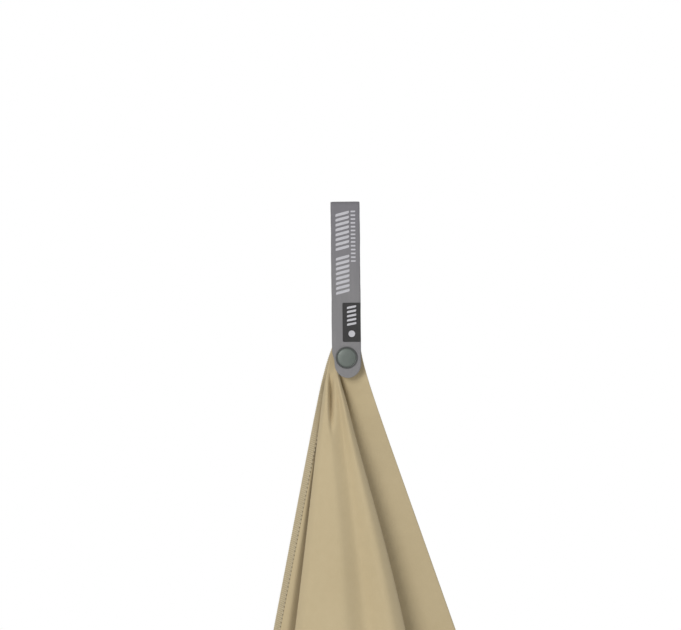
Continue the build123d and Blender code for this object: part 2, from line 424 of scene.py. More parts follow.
clothColours = {
    "name": "suedeMicrofibre",
    "colour": (0.520, 0.430, 0.270, 1),
    "shade": (0.45, 0.365, 0.218, 1),
    # painted shade between the overlock threads along the hems, and in the needle holes
    "hemShade": (0.34, 0.285, 0.18, 1),
    "hemShare": 0.4,
    "holeShade": (0.15, 0.12, 0.07, 1),
    "napHeight": 0.00012,
    "wales": 900.0,
    "nap": 650.0,
    "roughness": 0.92,
    "sheen": 0.35,
    "sheenTint": (0.93, 0.86, 0.72, 1),
}
webbingColours = {
    "name": "wovenWebbing",
    "colour": (0.262, 0.258, 0.270, 1),
    "shade": (0.20, 0.20, 0.212, 1),
    "gaps": (0.10, 0.10, 0.108, 1),
    # painted shade, tinted violet: the front leg darker towards its top
    "upperTone": (0.165, 0.160, 0.190, 1),
    "toneComesIn": (0.190, 0.125),  # distances along the strap from its back end
    "across": 1500.0,
    "along": 1900.0,
    "height": 0.00016,
}
ribbons = {
    "dark_patch": {
        "name": "darkSatinPatch",
        "colour": (0.040, 0.040, 0.041, 1),
        "shade": (0.022, 0.022, 0.024, 1),
        "across": 1700.0,
        "along": 2300.0,
        "height": 0.00010,
        "roughness": 0.62,
    },
    "tag_ribbon": {
        "name": "plainTagRibbon",
        "colour": (0.70, 0.69, 0.66, 1),
        "shade": (0.60, 0.59, 0.56, 1),
        "across": 2200.0,
        "along": 2200.0,
        "height": 0.00006,
        "roughness": 0.5,
    },
}
threads = {
    "light_thread": {
        "name": "offWhiteThread",
        "colour": (0.62, 0.62, 0.67, 1),
        "shade": (0.50, 0.50, 0.54, 1),
        "turns": 1400.0,
        "roughness": 0.6,
    },
    "hem_thread": {
        "name": "sandHemThread",
        "colour": (0.63, 0.56, 0.41, 1),
        "shade": (0.52, 0.46, 0.33, 1),
        "turns": 1100.0,
        "roughness": 0.8,
    },
    "seam_thread": {
        "name": "greySeamThread",
        "colour": (0.17, 0.17, 0.18, 1),
        "shade": (0.11, 0.11, 0.12, 1),
        "turns": 1100.0,
        "roughness": 0.6,
    },
}
metals = {
    "snap_face": {
        "name": "greenGreyCap",
        "colour": (0.143, 0.166, 0.154, 1),
        "shade": (0.105, 0.125, 0.116, 1),
        "metallic": 0.35,
        "roughness": 0.42,
        "scuffs": 0.14,
        "coat": 0.12,
        # painted shade in the groove inside the rolled edge
        "groove": {"height": -0.104, "inner": 0.0060, "outer": 0.0067, "colour": (0.075, 0.082, 0.080, 1)},
    },
    "snap_inner": {
        "name": "dullNickel",
        "colour": (0.42, 0.42, 0.41, 1),
        "shade": (0.30, 0.30, 0.29, 1),
        "metallic": 1.0,
        "roughness": 0.32,
        "scuffs": 0.2,
        "coat": 0.0,
    },
    "spring_wire": {
        "name": "brightWire",
        "colour": (0.55, 0.54, 0.52, 1),
        "shade": (0.44, 0.43, 0.41, 1),
        "metallic": 1.0,
        "roughness": 0.2,
        "scuffs": 0.12,
        "coat": 0.0,
    },
}
finishes = {"cloth": newFinish(clothColours, clothLooks), "webbing": newFinish(webbingColours, webbingLooks)}
for draw, table in ((ribbonLooks, ribbons), (threadLooks, threads), (metalLooks, metals)):
    for slot, finish in table.items():
        finishes[slot] = newFinish(finish, draw)
print("finishes built:", len(finishes))


# mesh helpers


# a mesh object. uvs holds one flat coordinate for each point
def newPiece(name, points, faces, finish, uvs, smooth=True):
    mesh = bpy.data.meshes.new(name)
    mesh.from_pydata([tuple(p) for p in points], [], faces)
    mesh.validate()
    mesh.update()
    layer = mesh.uv_layers.new(name="cut")
    corners = np.empty(len(mesh.loops), dtype=np.int32)
    mesh.loops.foreach_get("vertex_index", corners)
    layer.data.foreach_set("uv", np.asarray(uvs, float)[corners].ravel())
    mesh.polygons.foreach_set("use_smooth", [smooth] * len(mesh.polygons))
    mesh.materials.append(finishes[finish])
    piece = newObject(name, mesh)
    return piece


# faces of a grid stored row by row
def gridFaces(rows, columns, start=0, closeColumns=False):
    faces = []
    last = columns if closeColumns else columns - 1
    for row in range(rows - 1):
        for column in range(last):
            here = start + row * columns + column
            beside = start + row * columns + (column + 1) % columns
            faces.append((here, beside, beside + columns, here + columns))
    return faces


# the flat faces that close the first and the last ring of a run
def endFaces(start, count, rows, outward):
    last = start + (rows - 1) * count
    first = tuple(range(start, start + count))
    end = tuple(range(last, last + count))
    return [first[::-1], end] if outward else [first, end[::-1]]


def ringAngles(sides):
    return np.arange(sides) / sides * 2 * math.pi


def lengthAlong(path):
    return np.concatenate([[0], np.cumsum(np.linalg.norm(np.diff(path, axis=0), axis=1))])


def unit(vectors):
    return vectors / np.maximum(np.linalg.norm(vectors, axis=-1, keepdims=True), 1e-12)


# rings of points round a path, and their flat coordinates
def tubePoints(path, radius, sides, squash=1.0, normals=None):
    path = np.asarray(path, float)
    ahead = unit(np.gradient(path, axis=0))
    if normals is None:
        normals = np.tile(np.array([0.0, 1.0, 0.0]), (len(path), 1))
    side = unit(np.cross(ahead, normals))
    up = np.cross(side, ahead)
    angle = ringAngles(sides)
    ring = side[:, None] * np.cos(angle)[:, None]
    ring += up[:, None] * (np.sin(angle) * squash)[:, None]
    points = path[:, None] + ring * radius
    length = lengthAlong(path)
    uv = np.stack(np.broadcast_arrays(length[:, None], (angle / (2 * math.pi))[None, :]), axis=-1)
    return points.reshape(-1, 3), uv.reshape(-1, 2)


# one mesh of several closed tubes. Each run is (path, normals)
def joinTubes(name, runs, radius, sides, finish, squash=1.0):
    points, faces, uvs = [], [], []
    count = 0
    for path, normals in runs:
        ringPoints, ringUvs = tubePoints(path, radius, sides, squash, normals)
        points.append(ringPoints)
        uvs.append(ringUvs)
        faces += gridFaces(len(path), sides, count, closeColumns=True)
        faces += endFaces(count, sides, len(path), outward=True)
        count += len(ringPoints)
    return newPiece(name, np.concatenate(points), faces, finish, np.concatenate(uvs))


# a sheet gets its thickness on both sides
def thicken(piece, thickness):
    solid = piece.modifiers.new("thickness", "SOLIDIFY")
    solid.thickness = thickness
    solid.offset = 0


# a round piece on the press stud's axis, from (radius, depth) points in mm
def lathe(name, profile, height, finish, sides=96):
    radius, depth = (np.asarray(profile, float) * mm).T[..., None]
    angle = ringAngles(sides)
    points = np.empty((len(profile), sides, 3))
    points[..., 0] = radius * np.cos(angle)
    points[..., 1] = depth
    points[..., 2] = height + radius * np.sin(angle)
    faces = gridFaces(len(profile), sides, closeColumns=True)
    faces += endFaces(0, sides, len(profile), outward=False)
    uv = points[..., [0, 2]].reshape(-1, 2)
    return newPiece(name, points.reshape(-1, 3), faces, finish, uv)


def smoothStep(value, low, high):
    share = np.clip((value - low) / (high - low), 0, 1)
    return share * share * (3 - 2 * share)


# the webbing strap

legLow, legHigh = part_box("strap_front_leg")
backLow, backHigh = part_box("strap_back_leg")
foldLow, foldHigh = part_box("strap_top_fold")
capLow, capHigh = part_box("snap_cap")
studHeight = (capLow[2] + capHigh[2]) / 2

strap = {
    "width": foldHigh[0] - foldLow[0],
    "thickness": legHigh[1] - legLow[1],
    "frontEnd": legLow[2],
    "backEnd": backLow[2],
    "middle": (backLow[1] + backHigh[1]) / 2,
    "edgeWaviness": 0.12 * mm,
    "edgeRound": 0.18 * mm,
    "rowPitch": 1.5 * mm,
    "columns": 23,
    "endTrim": 0.8 * mm,  # the round end is cut a little narrower on its left
    "trimHeights": (0.099, 0.107),  # heights below the line between which the trim comes in
    "backCorner": 6.0 * mm,
}


# centre line from the back leg's end, over the top, to the round end in front
def strapPath():
    reach, radius = strap["middle"], strap["width"] / 2
    start = strap["backEnd"] + np.array([0.0, 0.05, 0.3, 0.8]) * strap["backCorner"]
    up = np.concatenate([start, np.arange(strap["backEnd"] + strap["backCorner"], 0, strap["rowPitch"])])
    turn = np.linspace(0, math.pi, 25)
    down = np.arange(strap["rowPitch"], -strap["frontEnd"] - radius, strap["rowPitch"])
    swing = np.linspace(0, math.pi / 2, 16)
    tip = strap["frontEnd"] + radius - np.sin(swing) * radius
    depths = [np.full_like(up, reach), np.cos(turn) * reach, np.full(len(down) + len(tip), -reach)]
    heights = [up, np.sin(turn) * reach, -down, tip]
    line = np.stack([np.concatenate(depths), np.concatenate(heights)], axis=1)
    trim = strap["endTrim"] * smoothStep(-line[:, 1], *strap["trimHeights"])
    half = radius - trim
    half[-len(swing):] = np.maximum(np.cos(swing) * (radius - strap["endTrim"]), 0.4 * mm)
    fromBack = np.clip((line[:, 1] - strap["backEnd"]) / strap["backCorner"], 0, 1) + (line[:, 0] < 0)
    corner = 1 - np.sqrt(np.clip(1 - (1 - np.clip(fromBack, 0, 1)) ** 2, 0, 1))
    half -= corner * strap["backCorner"]
    return line, half, trim


def makeStrap():
    line, half, trim = strapPath()
    ahead = unit(np.gradient(line, axis=0))
    outward = np.stack([ahead[:, 1], -ahead[:, 0]], axis=1)
    length = lengthAlong(line)
    flatShare = np.linspace(-1, 1, strap["columns"])
    top = [(s, 1.0) for s in flatShare]
    bottom = [(s, -1.0) for s in flatShare[::-1]]
    section = top + [(1.0, 0.0)] + bottom + [(-1.0, 0.0)]
    points, uvs = [], []
    for row, (y, z) in enumerate(line):
        sway = strap["edgeWaviness"] * math.sin(length[row] * 210.0) * math.sin(length[row] * 67.0 + 1.0)
        for share, side in section:
            rounding = 1 - 0.35 * abs(share) ** 14
            across = share * (half[row] - (strap["edgeRound"] if side else 0.0)) + sway + trim[row]
            lift = side * strap["thickness"] / 2 * rounding
            points.append((across, y + outward[row, 0] * lift, z + outward[row, 1] * lift))
            uvs.append((across, length[row] + 0.0004 * side))
    faces = gridFaces(len(line), len(section), closeColumns=True)
    faces += endFaces(0, len(section), len(line), outward=False)
    piece = newPiece("webbingStrap", points, faces, "webbing", uvs)
    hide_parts("strap_front_leg", "strap_top_fold", "strap_back_leg")
    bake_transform(piece)


makeStrap()
print("strap made")


# the dark patch and the light threads

patchLow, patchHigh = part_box("side_label")

patch = {"corner": 0.8 * mm, "edgeRound": 0.12 * mm}
marks = {
    "bandCentre": -2.1,
    "bandWidth": 9.4,
    "bandTop": -2.0,
    "bandLength": 59.5,
    "bars": 17,
    "gap": 8,  # the bar left out between the two groups
    "barShare": 0.55,
    "slant": 2.4,
    "dashCentre": 5.3,
    "dashWidth": 3.2,
    "dashLength": 36.8,
    "dashes": 14,
    "dashShare": 0.42,
    "patchBars": 5,
    "patchBarWidth": 6.4,
    "patchBarHeight": 1.5,
    "patchBarSlant": 1.2,
    "patchBarPitch": 2.9,
    "patchBarTop": -69.8,
    "dotRadius": 2.3,
    "dotHeight": -87.6,
    "height": 0.2,
}


# a thin slab with rounded corners and softened edges
def makePatch():
    low, high = np.array(patchLow), np.array(patchHigh)
    middle, size = (low + high) / 2, (high - low) / 2
    corner = patch["corner"]
    points = []
    rings = ((0.0, 1.0), (0.0, 0.35), (0.35, 0.0), (1.2, 0.0))
    for inset, depth in rings:
        radius = corner - min(inset * patch["edgeRound"] * 3, corner * 0.9)
        for quarter, (sideX, sideZ) in enumerate(((1, 1), (-1, 1), (-1, -1), (1, -1))):
            for step in range(7):
                angle = math.radians(90 * quarter + 15 * step)
                x = middle[0] + sideX * (size[0] - corner) + math.cos(angle) * radius
                z = middle[2] + sideZ * (size[2] - corner) + math.sin(angle) * radius
                points.append((x, low[1] + depth * (high[1] - low[1]), z))
    count = len(points) // len(rings)
    faces = gridFaces(len(rings), count, closeColumns=True)
    faces += endFaces(0, count, len(rings), outward=True)
    uvs = [(p[0], p[2]) for p in points]
    piece = newPiece("darkPatch", points, faces, "dark_patch", uvs, smooth=False)
    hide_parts("side_label")
    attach(piece, "strap_front")


# raised stitches on a flat face, gathered for one mesh. Sizes and places are in mm
class Stitches:

    def __init__(self, back):
        self.back = back + 0.01 * mm
        self.points, self.faces, self.uvs = [], [], []

    def put(self, x, z, dome, uv):
        self.points.append((x * mm, self.back - dome * marks["height"] * mm, z * mm))
        self.uvs.append(uv)

    # bars of close stitches round one centre line, domed across their height
    def bars(self, centre, middles, width, height, slant=0):
        columns, rows = 13, 7
        for middle in middles:
            start = len(self.points)
            for column in range(columns):
                share = column / (columns - 1)
                ends = math.sqrt(max(0.0, 1 - abs(2 * share - 1) ** 10))
                for row in range(rows):
                    up = row / (rows - 1) * 2 - 1
                    z = middle + share * slant + up * height / 2 * (0.86 + 0.14 * ends)
                    dome = math.sqrt(max(0.0, 1 - abs(up) ** 3)) * ends
                    self.put(centre - width / 2 + share * width, z, dome, (z * mm * 2, share * 30))
            self.faces += gridFaces(columns, rows, start)

    def dot(self, x, z, radius):
        rings, sides = 5, 32
        start = len(self.points)
        for ring in range(1, rings + 1):
            share = ring / rings
            dome = math.sqrt(max(0.0, 1 - share**4))
            for angle in ringAngles(sides):
                across, up = x + math.cos(angle) * radius * share, z + math.sin(angle) * radius * share
                self.put(across, up, dome, (up * mm * 2, across * 3))
        self.faces += gridFaces(rings, sides, start, closeColumns=True)
        self.faces.append(tuple(range(start, start + sides))[::-1])

    def piece(self, name):
        return newPiece(name, self.points, self.faces, "light_thread", self.uvs)


def makeStrapMarks():
    stitches = Stitches(legLow[1])
    pitch = (marks["bandLength"] - marks["slant"]) / marks["bars"]
    top = marks["bandTop"] - marks["slant"]
    middles = [top - (number + 0.5) * pitch for number in range(marks["bars"]) if number != marks["gap"]]
    height = marks["bandLength"] / marks["bars"] * marks["barShare"]
    stitches.bars(marks["bandCentre"], middles, marks["bandWidth"], height, marks["slant"])
    pitch = marks["dashLength"] / marks["dashes"]
    middles = [marks["bandTop"] - (number + 0.5) * pitch for number in range(marks["dashes"])]
    stitches.bars(marks["dashCentre"], middles, marks["dashWidth"], pitch * marks["dashShare"])
    piece = stitches.piece("strapStitchMarks")
    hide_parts("strap_motif")
    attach(piece, "strap_front")


def makePatchMarks():
    stitches = Stitches(patchLow[1])
    centre = (patchLow[0] + patchHigh[0]) / 2 / mm
    middles = [marks["patchBarTop"] - number * marks["patchBarPitch"] for number in range(marks["patchBars"])]
    stitches.bars(centre, middles, marks["patchBarWidth"], marks["patchBarHeight"], marks["patchBarSlant"])
    stitches.dot(centre, marks["dotHeight"], marks["dotRadius"])
    piece = stitches.piece("patchStitchMarks")
    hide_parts("label_motif")
    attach(piece, "strap_front")


makePatch()
makeStrapMarks()
makePatchMarks()
print("patch and stitched marks made")


# the press stud

# sizes in mm
stud = {
    "face": legLow[1] / mm,
    "capRadius": 7.5,
    "capHeight": 1.5,
    "dome": 0.42,  # how far the cap falls from its middle to the groove
    "grooveDepth": 0.3,
    "beadWidth": 1.0,
    "beadHeight": 0.95,
    "beadSide": 0.55,  # height at which the bead's round begins
    "barrelRadius": 1.6,
    "barrelLength": 1.8,
    "discThickness": 0.8,
    "discRound": 0.55,
    "axis": 0.02,  # radius of the innermost ring
}


# domed middle, a shallow groove and a rolled bead round the edge
def capProfile():
    face, radius, barrel = stud["face"], stud["capRadius"], stud["barrelRadius"]
    profile = [(stud["axis"], face - stud["capHeight"])]
    inner = radius - stud["beadWidth"] - 0.25
    for step in range(1, 15):
        share = step / 14
        fall = stud["dome"] * share**3.0 + stud["grooveDepth"] * smoothStep(share, 0.93, 1.0)
        profile.append((inner * share, face - stud["capHeight"] + fall))
    middle = radius - stud["beadWidth"] / 2
    for step in range(13):
        angle = math.pi - step / 12 * math.pi
        lift = stud["beadSide"] + math.sin(angle) * (stud["beadHeight"] - stud["beadSide"])
        profile.append((middle + math.cos(angle) * stud["beadWidth"] / 2, face - lift))
    profile += [(radius, face - 0.05), (radius - 0.15, face), (barrel, face)]
    end = face + stud["barrelLength"]
    return profile + [(barrel, end), (stud["axis"], end)]


# the plain rivet disc behind the sewn corner
def discProfile():
    low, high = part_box("snap_post")
    back = high[1] / mm
    front = back - stud["discThickness"]
    radius, turned, barrel = (high[0] - low[0]) / 2 / mm, stud["discRound"], stud["barrelRadius"]
    profile = [(stud["axis"], low[1] / mm), (barrel, low[1] / mm), (barrel, front)]
    profile += [(radius - 0.1, front), (radius, front + 0.12)]
    for step in range(7):
        angle = step / 6 * math.pi / 2
        profile.append((radius - turned + math.cos(angle) * turned, back - 0.5 + math.sin(angle) * 0.5))
    profile += [(radius * 0.55, back - 0.04), (1.9, back - 0.1), (barrel, back - 0.35)]
    return profile + [(stud["axis"], back - 0.4)]


def makeStud():
    cap = lathe("capFace", capProfile(), studHeight, "snap_face")
    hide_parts("snap_cap")
    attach(cap, "strap_front")
    disc = lathe("rivetDisc", discProfile(), studHeight, "snap_face")
    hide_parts("snap_post")
    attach(disc, "strap_back")
    inside = {"snap_socket": "snap_inner", "snap_stud": "snap_inner", "snap_spring": "spring_wire"}
    for name, finish in inside.items():
        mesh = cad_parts[name].data
        mesh.materials.clear()
        mesh.materials.append(finishes[finish])


makeStud()
print("press stud made")


# the cloth, in pleats that fan out from its corner

towel = {
    "length": 0.800,  # cut sizes
    "width": 0.400,
    "thickness": 0.7 * mm,
    "corner": (-5.9, 6.2, -61.5),  # where the cloth's own corner would be, in mm
    "columns": 255,
    "rows": 190,
    "rowBias": 1.25,
    "hiddenTop": 88.0,  # the cloth starts this far below the line, behind the strap
    "gatherShift": 2.9,
    "gatherReach": 14.0,
    # the gather loosens between these heights below the line, in front and behind
    "frontLoosens": (107.0, 119.0),
    "rearLoosens": (110.8, 133.0),
    # in mm. "loosens" and "eases" are distances from the corner; heights are below the line
    "loosens": (240.0, 620.0),
    "ease": 0.10,
    "eases": (260.0, 700.0),  # where the slack begins to shorten the cloth, and its scale
    "swell": 60.0,  # at the corner the folds are as deep as this far down
    "pullHeight": (118.0, 100.0),  # middle and reach of each fold's shift
    "topHeight": (114.0, 15.0),
    "topDepthHeight": (132.0, 22.0),
    "topDepthStarts": (110.8, 121.0),
    "lowStarts": (120.0, 190.0),
    "lowFades": (380.0, 700.0),
    "wavesStart": (290.0, 520.0),
    "gatherStart": 98.8,
    "gatherFront": 0.5,  # room behind the back leg
    "gatherDepth": 2.2,
}

# The fold lines from the left hem round to the right one. "turn" is how far the line leans to
# the right and to the back, in degrees; "soft" is how round the fold is near the strap and at
# the far edge, in degrees; "pull" is how far the gather draws it sideways; "top" is a shift
# sideways and in depth close to the strap, and "low" a set-back lower down, in mm.
folds = [
    {"turn": (-11.5, 1.2), "soft": (0.30, 0.5), "pull": 0.0, "top": (0, 0), "low": -2.0},
    {"turn": (-9.0, 1.5), "soft": (0.30, 1.0), "pull": 0.0, "top": (0, 0), "low": -5.0},
    {"turn": (-7.4, 1.7), "soft": (0.30, 1.0), "pull": -0.5, "top": (0, 2), "low": -1.0},
    {"turn": (0.0, 2.6), "soft": (0.60, 1.6), "pull": -2.0, "top": (0, 2), "low": 4.0},
    {"turn": (-8.0, -1.1), "soft": (0.42, 1.6), "pull": -1.4, "top": (0, -1), "low": 0.0},
    {"turn": (-6.4, -2.6), "soft": (0.60, 1.8), "pull": -1.4, "top": (0, -3), "low": 0.0},
    {"turn": (0.9, -3.7), "soft": (0.80, 2.2), "pull": -8.4, "top": (0, -3), "low": 0.0},
    {"turn": (4.4, -1.5), "soft": (0.80, 2.4), "pull": -5.2, "top": (-2.0, -3), "low": 0.0},
    {"turn": (8.9, -3.8), "soft": (1.00, 2.2), "pull": -8.5, "top": (-1.5, -4), "low": 0.0},
    {"turn": (11.5, -1.1), "soft": (0.80, 1.8), "pull": -9.2, "top": (-2.2, -3), "low": 0.0},
    {"turn": (3.5, 0.9), "soft": (0.60, 1.6), "pull": -6.0, "top": (0, 8.5), "low": 8.0},
    {"turn": (9.5, 1.2), "soft": (0.90, 1.6), "pull": -6.0, "top": (0, 0), "low": 8.0},
    {"turn": (19.2, 1.8), "soft": (0.45, 1.5), "pull": 0.0, "top": (0, -2), "low": 12.0},
    {"turn": (4.0, 7.3), "soft": (0.90, 2.0), "pull": 0.0, "top": (0, 6), "low": 10.0},
    {"turn": (-12.0, 6.8), "soft": (0.90, 1.0), "pull": 0.0, "top": (0, 2), "low": 3.0},
]

# A short crease in the front pleat, just below the strap's end.
crease = {
    "place": -11.0,
    "halfWidth": 1.6,
    "depth": 13.0,
    "starts": 110.0,
    "fades": (126.0, 160.0),
    "behind": 0.47,  # where the next layer lies, as a share of the gather's depth
    "gap": 0.8,
}

# Slow waves of the slack lower part: size and length in mm, and phase.
waves = {
    "depth": ((4.5, 150.0, 210.0, 0.4), (2.5, 84.0, 330.0, 2.1), (1.4, 47.0, 150.0, 4.0)),
    "side": ((2.6, 620.0, 250.0, 1.3), (1.2, 300.0, 140.0, 0.2)),
    "wander": 5.0,
    "wanderLength": 95.0,
    "foldPhase": 2.4,
}


def foldVector(right, back):
    x, y = math.sin(math.radians(right)), math.sin(math.radians(back))
    return np.array([x, y, -math.sqrt(1 - x * x - y * y)])


# the folds' turns, the last cut back to the corner's right angle, and their flat angles
def foldStations():
    turns = np.array([f["turn"] for f in folds], float)
    angles = [0.0]
    for number in range(1, len(folds)):
        before, after = turns[number - 1], turns[number]
        step = math.degrees(math.acos(min(1.0, float(foldVector(*before) @ foldVector(*after)))))
        if angles[-1] + step > 90 or number == len(folds) - 1:
            turns[number] = before + (90 - angles[-1]) / step * (after - before)
            step = 90 - angles[-1]
        angles.append(angles[-1] + step)
    return turns[:, 0], turns[:, 1], np.array(angles)


foldRight, foldBack, foldAngle = foldStations()
foldSoft, foldPull, foldTop, foldLow = (
    np.array([fold[key] for fold in folds], float) for key in ("soft", "pull", "top", "low")
)
diagonal = math.degrees(math.atan2(towel["width"], towel["length"]))


# how much each fold line counts at each angle, with the folds rounded
def foldShares(angles, softness):
    fine = np.linspace(-8, 98, 2651)
    hats = np.stack([np.interp(fine, foldAngle, hat) for hat in np.eye(len(foldAngle))], axis=1)
    soft = np.interp(angles, foldAngle, softness)
    spread = np.exp(-0.5 * ((angles[:, None] - fine[None, :]) / soft[:, None]) ** 2)
    spread /= spread.sum(axis=1)[:, None]
    return spread @ hats


# how far the cloth runs from its corner, in mm
def farReach(angles):
    turn = np.radians(np.asarray(angles, float))
    along = towel["length"] / mm / np.maximum(np.cos(turn), 1e-9)
    across = towel["width"] / mm / np.maximum(np.sin(turn), 1e-9)
    return np.minimum(along, across)


# angles of the mesh's columns, closer together at the folds
def columnAngles():
    fine = np.linspace(0, 90, 4001)
    density = np.ones_like(fine)
    for angle in foldAngle:
        density += 2.2 * np.exp(-(((fine - angle) / 1.4) ** 2))
    total = np.cumsum(density)
    total = (total - total[0]) / (total[-1] - total[0])
    angles = np.interp(np.linspace(0, 1, towel["columns"]), total, fine)
    nearest = int(np.argmin(abs(angles - diagonal)))
    angles[nearest] = diagonal
    return angles


# depth of the short crease in the front pleat
def creaseDepth(x, drop):
    valley = np.exp(-(((x - crease["place"]) / crease["halfWidth"]) ** 2))
    below = smoothStep(drop, crease["starts"], crease["starts"] + 6)
    return crease["depth"] * valley * below * (1 - smoothStep(drop, *crease["fades"]))


# a soft rise and fall round a height below the line
def roundHeight(drop, height):
    return np.exp(-(((drop - height[0]) / height[1]) ** 2))


# how far to the front and back the cloth lies, with the gather and the crease
def clothDepth(x, fall, drop, slopeY, shares):
    swell = np.sqrt(fall**2 + towel["swell"] ** 2)
    rises = np.tan(np.radians(foldBack))
    slopes = (slopeY, rises.min(), rises.max())
    natural, front, rear = (towel["corner"][1] + slope * swell for slope in slopes)
    pressedFront = backHigh[1] / mm + towel["gatherFront"]
    gatheredFront = 1 - smoothStep(drop, *towel["frontLoosens"])
    gatheredRear = 1 - smoothStep(drop, *towel["rearLoosens"])
    newFront = front + (pressedFront - front) * gatheredFront
    newRear = rear + (pressedFront + towel["gatherDepth"] - rear) * gatheredRear
    y = newFront + (natural - front) / (rear - front) * (newRear - newFront)
    atTop = roundHeight(drop, towel["topDepthHeight"]) * smoothStep(drop, *towel["topDepthStarts"])
    y += (shares @ foldTop[:, 1]) * atTop
    lower = smoothStep(drop, *towel["lowStarts"]) * (1 - smoothStep(drop, *towel["lowFades"]))
    y += (shares @ foldLow) * lower
    nextLayer = newFront + crease["behind"] * (newRear - newFront) - crease["gap"]
    room = np.maximum(nextLayer - y, 0.001)  # the layers keep their order as they are pressed back
    return y + room * (1 - np.exp(-creaseDepth(x, drop) / room))


# places in metres for points given by angle and distance from the corner in mm
def clothShape(angles, distances):
    loose = smoothStep(distances, *towel["loosens"])[..., None]
    tight = foldShares(angles, foldSoft[:, 0])[None]
    slack = foldShares(angles, foldSoft[:, 1])[None]
    shares = tight * (1 - loose) + slack * loose
    slopeX = shares @ np.tan(np.radians(foldRight))
    slopeY = shares @ np.tan(np.radians(foldBack))
    fall = distances / np.sqrt(1 + slopeX**2 + slopeY**2)
    drop = fall - towel["corner"][2]
    easeFrom, easeScale = towel["eases"]
    eased = fall - towel["ease"] * np.maximum(fall - easeFrom, 0) ** 2 / easeScale
    x = towel["corner"][0] + slopeX * eased
    x += (shares @ foldPull) * roundHeight(drop, towel["pullHeight"])
    x += (shares @ foldTop[:, 0]) * roundHeight(drop, towel["topHeight"])
    x += towel["gatherShift"] * np.exp(-(drop - towel["gatherStart"]) / towel["gatherReach"])
    y = clothDepth(x, fall, drop, slopeY, shares)

    wander = waves["wander"] * loose[..., 0]
    phase = np.arange(len(folds)) * waves["foldPhase"]
    roll, turn = shares @ np.sin(phase), shares @ np.cos(phase)
    wave = distances / waves["wanderLength"]
    y += wander * (roll * np.cos(wave) + turn * np.sin(wave))
    x += wander * 0.5 * (roll * np.sin(wave * 0.8) - turn * np.cos(wave * 0.8))
    bend = smoothStep(drop, *towel["wavesStart"])
    still = x.copy()
    for size, across, along, start in waves["depth"]:
        y += bend * size * np.sin(still / across * 2 * math.pi + drop / along * math.pi + start)
    for size, across, along, start in waves["side"]:
        x += bend * size * np.sin(still / across * 2 * math.pi + drop / along * 2 * math.pi + start)
    return np.stack([x, y, -drop], axis=-1) * mm


clothStart = towel["hiddenTop"] + towel["corner"][2]
clothAngles = columnAngles()
rowShares = np.linspace(0, 1, towel["rows"]) ** towel["rowBias"]
clothDistances = clothStart + (farReach(clothAngles) - clothStart)[None, :] * rowShares[:, None]
clothPoints = clothShape(clothAngles, clothDistances)
clothNormals = unit(np.cross(np.gradient(clothPoints, axis=1), np.gradient(clothPoints, axis=0)))


# a value between four neighbours of the cloth's grid
def betweenRows(field, top, left, low, side):
    upper = field[top, left] * (1 - side) + field[top, left + 1] * side
    lower = field[top + 1, left] * (1 - side) + field[top + 1, left + 1] * side
    return upper * (1 - low) + lower * low


# place and front normal of points given by their flat coordinates in mm
def onCloth(alongLength, alongWidth):
    x, y = np.asarray(alongLength, float), np.asarray(alongWidth, float)
    angle = np.degrees(np.arctan2(y, x))
    number = np.arange(len(clothAngles))
    column = np.clip(np.interp(angle, clothAngles, number), 0, len(clothAngles) - 1.001)
    share = np.clip((np.hypot(x, y) - clothStart) / (farReach(angle) - clothStart), 0, 1)
    row = np.clip(share ** (1 / towel["rowBias"]) * (towel["rows"] - 1), 0, towel["rows"] - 1.001)
    left, top = column.astype(int), row.astype(int)
    side, low = (column - left)[:, None], (row - top)[:, None]
    place = betweenRows(clothPoints, top, left, low, side)
    return place, unit(betweenRows(clothNormals, top, left, low, side))


# bakes the piece's place into its points
def blendAtStrap(piece):
    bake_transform(piece)


def makeCloth():
    turn = np.radians(clothAngles)
    flat = np.stack([clothDistances * np.cos(turn), clothDistances * np.sin(turn)], axis=-1) * mm
    points, faces = clothPoints.reshape(-1, 3), gridFaces(*clothPoints.shape[:2])
    piece = newPiece("suedeCloth", points, faces, "cloth", flat.reshape(-1, 2))
    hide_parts("towel_panel", "towel_corner")
    blendAtStrap(piece)
    thicken(piece, towel["thickness"])
    return piece


cloth = makeCloth()
print("cloth made:", clothPoints.shape)


# overlock stitching round the edges

# sizes in mm
hem = {
    "width": 4.3,
    "pitch": 2.8,
    "threadRadius": 0.25,
    "lift": 0.44,  # thread centre above the cloth's middle
    "turnOver": 0.22,
    "firstStitch": 10,  # of the two edges at the strap
}


# flat coordinates on one of the four edges, in mm
def edgeFrame(edge, along, inward):
    places = {
        "left": (along, inward),
        "right": (inward, along),
        "lowerShort": (towel["length"] / mm - inward, along),
        "lowerLong": (along, towel["width"] / mm - inward),
    }
    return places[edge]


# stitches repeated along an edge. Each point is (share of the pitch, inward, height)
def repeated(start, end, stitch):
    count = round((end - start) / hem["pitch"])
    share, inward, height = np.array(stitch, float).T
    along = start + (np.arange(count)[:, None] + share[None, :]) * (end - start) / count
    return along.ravel(), np.tile(inward, count), np.tile(height, count)


# a looper thread that runs to and fro over the edge, on both faces
def lacedRun(start, end):
    lift, width, over = hem["lift"], hem["width"], hem["turnOver"]
    stitch = (
        (0.00, width, lift),
        (0.20, width * 0.55, lift * 1.15),
        (0.38, 0.35, lift * 1.1),
        (0.45, -over * 0.4, lift * 0.7),
        (0.50, -over, 0.0),
        (0.55, -over * 0.4, -lift * 0.7),
        (0.62, 0.35, -lift * 1.1),
        (0.80, width * 0.55, -lift * 1.15),
        (0.96, width, -lift),
        (0.98, width + 0.25, 0.0),
    )
    return repeated(start, end, stitch)


# the second looper, a zigzag on the front that crosses the first
def ladderRun(start, end):
    turns = ((0.35, 0.2), (0.60, 2.0), (0.85, hem["width"] - 0.3), (1.10, 2.0))
    return repeated(start, end, [(share, inward, hem["lift"] * 0.95) for share, inward in turns])


